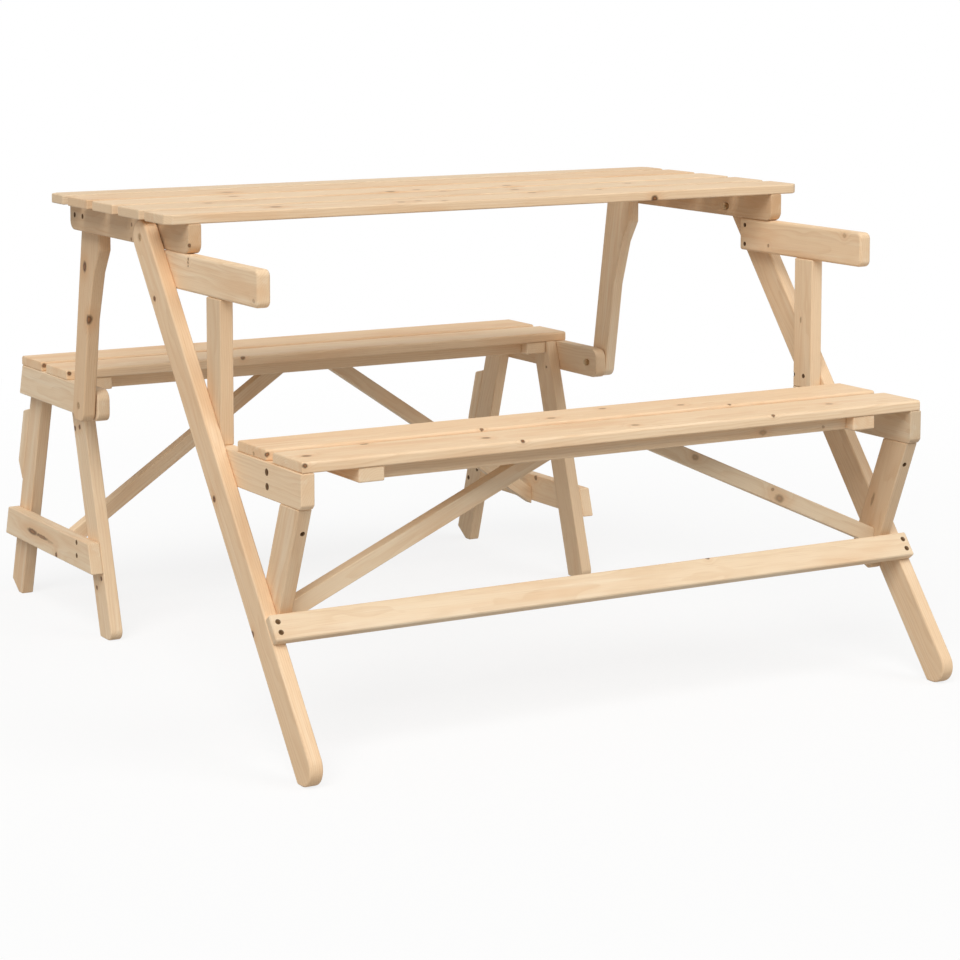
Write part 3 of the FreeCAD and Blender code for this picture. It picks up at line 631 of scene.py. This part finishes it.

# %% [markdown]
# No two sticks come from the same tree. One colour for all would look like plastic, and
# chance alone would put the dark sticks in the wrong places. The table gives those that
# stand out on the real bench: how light the wood is, and how much warmer or, below zero,
# paler it is. On several pieces the lightness is also painted light and shade: the cleats
# under the tabletop and the right front strut under the seat are darker and warmer as
# painted shade, and the front seat boards and the right rear leg, leg block, cross board
# and link are lighter as painted light. All others get a small chance difference.

# %% Tone of each piece
# Partly painted shade (cleats, right front strut) and painted light (front seats, right rear
# pieces).
TONES_AND_PAINTED_LIGHT = {
    "arm_post_left": (0.91, 0.06), "arm_post_right": (1.04, -0.02), "armrest": (1.07, 0.0),
    "cleat": (0.83, 0.12), "cross_board_left": (1.0, -0.06), "cross_board_right": (1.15, -0.08),
    "front_batten": (1.06, -0.04), "front_brace_left": (1.05, -0.12),
    "front_brace_right": (0.94, -0.12), "front_rail_left": (1.04, 0.0),
    "front_rail_right": (0.82, -0.08), "front_seat_board_front": (1.06, 0.0),
    "front_seat_board_rear": (1.05, 0.04), "front_strut_right": (0.86, 0.05),
    "link_left": (0.92, 0.12), "link_right": (1.15, -0.03), "long_leg_left": (1.02, 0.08),
    "long_leg_right": (0.98, 0.05), "leg_block_right": (1.15, 0.0),
    "rear_batten": (1.10, -0.05), "rear_bench_rear_leg_right": (1.15, 0.0),
    "rear_brace": (1.08, -0.05), "rear_crossbar": (1.07, 0.0),
    "rear_rail_left": (0.98, -0.06), "rear_seat_board_front": (1.08, 0.0),
    "rear_seat_board_rear": (0.99, 0.09), "stretcher": (0.97, -0.10),
    "table_board_4": (0.94, 0.08), "table_board_5": (0.93, -0.05),
}
print(len(TONES_AND_PAINTED_LIGHT), "tones")

# %% [markdown]
# Each piece is sawn from its own log, at a chance place that its name decides, so the
# result is the same on every run. Its points get their places in the log as an
# attribute of the mesh. Texture coordinates would do for a block that lies along an
# axis, but the legs slant, and the grain has to run along each of them.

# %% A piece's place in its log
LOG_LONG_MM = 3000
BESIDE_MM = 30
BELOW_MM = (25, 90)
GRAIN_TILT = 0.03
BLUE_LIFT = 1.02
END_FACE = 0.8
NO_KNOT = (9, 9, 9, 0.01, 0, 1)


def mesh_middle(mesh):
    """The middle of a mesh's box."""
    places = [vertex.co for vertex in mesh.vertices]
    return Vector([(min(p[at] for p in places) + max(p[at] for p in places)) / 2
                   for at in range(3)])


def log_of(name, mesh, axes):
    """A function from a place on the piece to its place in the log, and the tone."""
    along, across, through = axes
    chance = random.Random(int(hashlib.sha256(name.encode()).hexdigest()[:8], 16))
    middle = mesh_middle(mesh)
    start = chance.uniform(0, LOG_LONG_MM)
    beside = chance.uniform(-BESIDE_MM, BESIDE_MM)
    below = chance.choice((-1, 1)) * chance.uniform(*BELOW_MM)
    tilt = chance.uniform(-GRAIN_TILT, GRAIN_TILT)
    # The lightness from the table is partly painted light and painted shade.
    light, warm = next((tone for stem, tone in TONES_AND_PAINTED_LIGHT.items() if name.startswith(stem)),
                       (chance.uniform(0.95, 1.0), chance.uniform(-0.025, 0.025)))

    def place(point):
        offset = (Vector(point) - middle) / MM
        run = offset.dot(along)
        return Vector((start + run, beside + offset.dot(across) + tilt * run,
                       below + offset.dot(through)))
    return place, (light, light * (1 - warm / 2), light * (1 - warm) * BLUE_LIFT)


def finish_wood(node, solid, axes):
    """Makes the rounded piece stand for its node."""
    mesh = bpy.data.meshes.new(node + "_wood")
    solid.to_mesh(mesh)
    solid.free()
    piece = bpy.data.objects.new(node + "_wood", mesh)
    bpy.context.scene.collection.objects.link(piece)
    if node in holes:
        countersink(piece, holes[node])
    mesh = piece.data
    mesh.shade_smooth()
    place, tone = log_of(node, mesh, axes)
    log = mesh.attributes.new("log", "FLOAT_VECTOR", "POINT")
    for vertex in mesh.vertices:
        log.data[vertex.index].vector = place(vertex.co)
    ends = mesh.attributes.new("end_grain", "FLOAT", "FACE")
    for face in mesh.polygons:
        ends.data[face.index].value = float(abs(face.normal.dot(axes[0])) > END_FACE)
    # The faces inside each countersink, which get the painted shade.
    painted_hole_shade = mesh.attributes.new("painted_hole_shade", "FLOAT", "FACE")
    for face in mesh.polygons:
        painted_hole_shade.data[face.index].value = float(in_hole(face, holes.get(node, ())))
    # The tone: on some pieces painted light, on others painted shade.
    piece["tone"] = tone
    rows = KNOTS.get(node, ())
    for number in range(1, KNOT_SLOTS + 1):
        row = rows[number - 1] if number <= len(rows) else NO_KNOT
        piece["knot_place_%d" % number] = place(row[:3])
        piece["knot_look_%d" % number] = [float(value) for value in row[3:]]
    mesh.materials.clear()
    mesh.materials.append(spruce_wood)
    normals = piece.modifiers.new("flat_faces_stay_flat", "WEIGHTED_NORMAL")
    normals.weight = 100
    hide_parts(node)
    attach(piece, bodies_of_nodes[node])


print("each piece gets a log, a tone and its knots")

# %% Sticks


def planed_stick(node):
    """Rounds a stick and dresses it in wood. Gives the number of edges rounded."""
    solid = solid_of(node)
    axes = grain_axes(solid)
    rounded = ease(solid, next((eased for stem, eased in EASED_APART_MM.items() if stem in node),
                               EASED_MM))
    finish_wood(node, solid, axes)
    return rounded


STEEL_ENDINGS = ("_bolts", "_washers", "_nuts", "_screws")
wood_nodes = [node for node in frame["nodes"] if not node.endswith(STEEL_ENDINGS)]
board_nodes = [node for node in wood_nodes if "table_board" in node or "seat_board" in node]
stick_nodes = [node for node in wood_nodes if node not in board_nodes]
for stick_node in sorted(stick_nodes):
    print("%-28s %2d edges eased" % (stick_node, planed_stick(stick_node)))

# %% [markdown]
# The boards of the top and of the seats are plain planks. They could be rounded like the
# sticks, but their edges aren't all alike, so they are made afresh from their size. The
# long upper edges are rounded the most, to be soft to sit on, and all the others are
# only eased. The four outer corners of the tabletop are cut off.

# %% Rounded boards
TOP_EDGE_MM = {"seat_board": 4.5, "table_board": 2.8}
BOARD_EDGE_MM = 2.2
CUT_CORNER_MM = 11
CUT_SIDES = {"table_board_1": "front", "table_board_5": "rear"}
SHARP_ANGLE = math.radians(40)
PARALLEL = 0.99


def bevel_board(solid, edges, wide_mm, steps):
    """Rounds edges in several steps, or cuts them off in one."""
    bmesh.ops.bevel(solid, geom=edges, offset=wide_mm * MM, segments=steps, profile=0.5,
                    affect="EDGES", clamp_overlap=True)


def edges_on(solid, level_of, level, along):
    """The edges that lie on one level and run along one axis."""
    return [edge for edge in solid.edges
            if all(abs(level_of(vertex.co) - level) < SAME_LEVEL for vertex in edge.verts)
            and abs((edge.verts[0].co - edge.verts[1].co).normalized().dot(along)) > PARALLEL]


def rounded_board(node):
    """Makes a plank of the node's size, dressed in wood. Gives its size."""
    low, high = (Vector(corner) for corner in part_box(node))
    size = high - low
    solid = bmesh.new()
    bmesh.ops.create_cube(solid, size=1.0)
    bmesh.ops.scale(solid, vec=size, verts=solid.verts)
    bmesh.ops.translate(solid, vec=(low + high) / 2, verts=solid.verts)
    axes = (Vector((1, 0, 0)), Vector((0, 1, 0)), Vector((0, 0, 1)))
    if node in CUT_SIDES:
        side = low.y if CUT_SIDES[node] == "front" else high.y
        bevel_board(solid, edges_on(solid, lambda point: point.y, side, axes[2]), CUT_CORNER_MM, 1)
    top_edge_mm = next(wide for stem, wide in TOP_EDGE_MM.items() if stem in node)
    bevel_board(solid, edges_on(solid, lambda point: point.z, high.z, axes[0]), top_edge_mm,
                EASED_STEPS)
    solid.normal_update()
    bevel_board(solid, [edge for edge in solid.edges if edge.calc_face_angle() > SHARP_ANGLE],
                BOARD_EDGE_MM, EASED_STEPS)
    finish_wood(node, solid, axes)
    return size


for board_node in sorted(board_nodes):
    print("%-28s %s mm" % (board_node, [round(side / MM) for side in rounded_board(board_node)]))

# %% [markdown]
# A wood screw's head is a flat disc with a cross-shaped recess for the driver. The
# recess could be cut with a boolean, but few faces are enough for a thing this small. So
# the head is drawn as two outlines, the round rim and the cross, with the ring between
# them filled, the cross pushed in, and the rim carried down into a cone and a plain
# shank. All the screws of one group are one piece.

# %% Screw heads
HEAD_MM = 3.4
HEAD_BELOW_MM = 2.6
CROSS_LONG_MM = 2.0
CROSS_WIDE_MM = 0.45
CROSS_DEEP_MM = 1.0
NECK_MM = 1.6
SHANK_MM = 1.9
LONG_SHANK_MM = 24
SHORT_SHANK_MM = 17


def screw_into(mesh, point, facing, shank_mm):
    """Adds one screw, its head just below the given point."""
    def ring(radius, height):
        return [mesh.verts.new((radius * math.cos(turn), radius * math.sin(turn), height))
                for turn in (math.tau * at / SINK_SIDES for at in range(SINK_SIDES))]

    def cross(height):
        wide, long = CROSS_WIDE_MM, CROSS_LONG_MM
        corners = [(long, -wide), (long, wide), (wide, wide)]
        spots = []
        for quarter in range(4):
            turn = Matrix.Rotation(quarter * math.pi / 2, 2)
            spots += [turn @ Vector(corner) for corner in corners]
        return [mesh.verts.new((spot.x, spot.y, height)) for spot in spots]

    def loop(verts):
        return [mesh.edges.new((verts[at - 1], verts[at])) for at in range(len(verts))]

    def wall(upper, lower):
        for at in range(len(upper)):
            mesh.faces.new((upper[at - 1], upper[at], lower[at], lower[at - 1]))

    rim, mouth, bottom = ring(HEAD_MM, 0), cross(0), cross(-CROSS_DEEP_MM)
    neck, tip = ring(SHANK_MM, -NECK_MM), ring(SHANK_MM, -shank_mm)
    bmesh.ops.triangle_fill(mesh, use_beauty=True, edges=loop(rim) + loop(mouth))
    wall(mouth, bottom)
    mesh.faces.new(bottom)
    wall(neck, rim)
    wall(tip, neck)
    mesh.faces.new(tip)
    turn = facing.to_track_quat("Z", "Y").to_matrix().to_4x4()
    sunk = point - facing * HEAD_BELOW_MM * MM
    bmesh.ops.transform(mesh, matrix=Matrix.Translation(sunk) @ turn @ Matrix.Scale(MM, 4),
                        verts=rim + mouth + bottom + neck + tip)


for (group_name, body), rows in heads.items():
    screws = bmesh.new()
    shank_mm = SHORT_SHANK_MM if group_name.endswith("small_screws") else LONG_SHANK_MM
    for point, facing in rows:
        screw_into(screws, point, facing, shank_mm)
    bmesh.ops.recalc_face_normals(screws, faces=screws.faces[:])
    screw_mesh = bpy.data.meshes.new(group_name + "_steel")
    screws.to_mesh(screw_mesh)
    screws.free()
    # The screws get the steel whose dark brown is painted shade.
    screw_mesh.materials.append(screw_zinc_painted_shade)
    screw_piece = bpy.data.objects.new(group_name + "_steel", screw_mesh)
    bpy.context.scene.collection.objects.link(screw_piece)
    if group_name in frame["nodes"]:
        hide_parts(group_name)
    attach(screw_piece, body)
    print("%-28s %d screws" % (group_name, len(rows)))

# %% [markdown]
# The pivot bolts, washers and nuts are round or six-sided and plain, and the packed
# solids have these shapes already. So they aren't made again, and only get their steel.

# %% Steel on the frame's own fasteners
for node, thing in sorted(frame["nodes"].items()):
    if node.endswith(STEEL_ENDINGS):
        # The frame's screws get the steel whose dark brown is painted shade.
        finish = screw_zinc_painted_shade if node.endswith("_screws") else bolt_zinc
        for material_place in thing.material_slots:
            material_place.material = finish
        print("%-28s %s" % (node, finish.name))

# %% [markdown]
# The room is a white studio. A curved backdrop would do it in a real one, but it would
# show its bend from the side, so here the floor is wide and flat. Near the bench it is
# pale and takes a soft shadow, and farther out it runs into the white that the camera
# sees all round, so there is no horizon. The light itself comes from a dimmer sky.

# %% Floor and surroundings
FLOOR_METRES = 40
AMBIENT = 0.30
FLOOR_LIGHT = "#fbfbfa"
FLOOR_DARK = "#f6f6f5"
MOTTLE_PER_METRE = 1.5
FLOOR_FADES_FROM = 1.2
FLOOR_NEAR_WHITE = 0.82
FLOOR_FADES_TO = 3.0
FLOOR_BOUNCE = "#bfbfbf"


def camera_white(tree, light_path):
    """1 for the rays that should see a white room, and 0 for the light itself."""
    seen = maths(tree, "MAXIMUM", light_path.outputs["Is Camera Ray"],
                 light_path.outputs["Is Glossy Ray"])
    return maths(tree, "MAXIMUM", seen, light_path.outputs["Is Transmission Ray"])


def pale_floor():
    """A matt floor that fades to white, and that throws only grey light back."""
    material, tree, shader = new_material("matt_white_floor")
    place = add(tree, "TexCoord").outputs["Object"]
    mottle = add(tree, "TexNoise", {}, Vector=place, Scale=MOTTLE_PER_METRE,
                 Detail=2.0).outputs["Fac"]
    tree.links.new(blend_colours(tree, mottle, FLOOR_LIGHT, FLOOR_DARK),
                   shader.inputs["Base Color"])
    shader.inputs["Roughness"].default_value = 0.9
    shader.inputs["Specular IOR Level"].default_value = 0.1
    distance = add(tree, "VectorMath", {"operation": "LENGTH"}, i0=place).outputs["Value"]
    fade = add(tree, "MapRange", {"interpolation_type": "SMOOTHSTEP"}, Value=distance,
               i1=FLOOR_FADES_FROM, i2=FLOOR_FADES_TO, i3=FLOOR_NEAR_WHITE, i4=1.0).outputs[0]
    white = add(tree, "Emission", {}, Color=(1, 1, 1, 1), Strength=1.0)
    seen = camera_white(tree, add(tree, "LightPath"))
    pale = add(tree, "MixShader", {}, i0=fade, i1=shader.outputs[0], i2=white.outputs[0])
    grey = add(tree, "BsdfDiffuse", {}, Color=linear(FLOOR_BOUNCE))
    mix = add(tree, "MixShader", {}, i0=seen, i1=grey.outputs[0], i2=pale.outputs[0])
    tree.links.new(mix.outputs[0], tree.nodes["Material Output"].inputs["Surface"])
    return material


floor_mesh = bpy.data.meshes.new("floor")
half = FLOOR_METRES / 2
floor_mesh.from_pydata([(-half, -half, 0), (half, -half, 0), (half, half, 0), (-half, half, 0)],
                       [], [(0, 1, 2, 3)])
floor_mesh.materials.append(pale_floor())
floor = bpy.data.objects.new("floor", floor_mesh)
bpy.context.scene.collection.objects.link(floor)

world = bpy.data.worlds.new("white_studio")
bpy.context.scene.world = world
world.use_nodes = True
sky = world.node_tree
seen_white = camera_white(sky, add(sky, "LightPath"))
strength = add(sky, "MapRange", {}, Value=seen_white, i3=AMBIENT, i4=1.0).outputs[0]
sky.nodes["Background"].inputs["Color"].default_value = (1, 1, 1, 1)
sky.links.new(strength, sky.nodes["Background"].inputs["Strength"])
print("ambient light %.2f, floor white from %.1f m out" % (AMBIENT, FLOOR_FADES_TO))

# %% [markdown]
# One large lamp stands high on the front left and a smaller one on the front right, as
# two soft boxes would. Area lamps would be the same thing, but their light falls off
# with distance, and suns with a wide angle light every piece alike. Upward and forward
# faces are the brightest, and faces under the boards stay brown. Together with the sky
# they light an upward face at about the level at which a colour looks as it is written.

# %% Lamps
LAMP_SOFTNESS = math.radians(40)
LAMP_FAR = 3
LAMPS = {"large_lamp_front_left": ((-0.5, -0.5, 0.7), 1.95),
         "small_lamp_front_right": ((0.5, -0.5, 0.7), 0.85)}

up_light = AMBIENT
for lamp_name, (lamp_from, lamp_strength) in LAMPS.items():
    lamp_data = bpy.data.lights.new(lamp_name, "SUN")
    lamp_data.angle = LAMP_SOFTNESS
    lamp_data.energy = lamp_strength
    lamp = bpy.data.objects.new(lamp_name, lamp_data)
    lamp.location = Vector(lamp_from) * LAMP_FAR
    lamp.rotation_euler = Vector(lamp_from).to_track_quat("Z", "Y").to_euler()
    bpy.context.scene.collection.objects.link(lamp)
    up_light += lamp_strength * Vector(lamp_from).normalized().z / math.pi
bpy.context.scene.view_settings.view_transform = "Standard"
print("an upward face gets %.2f of full light" % up_light)
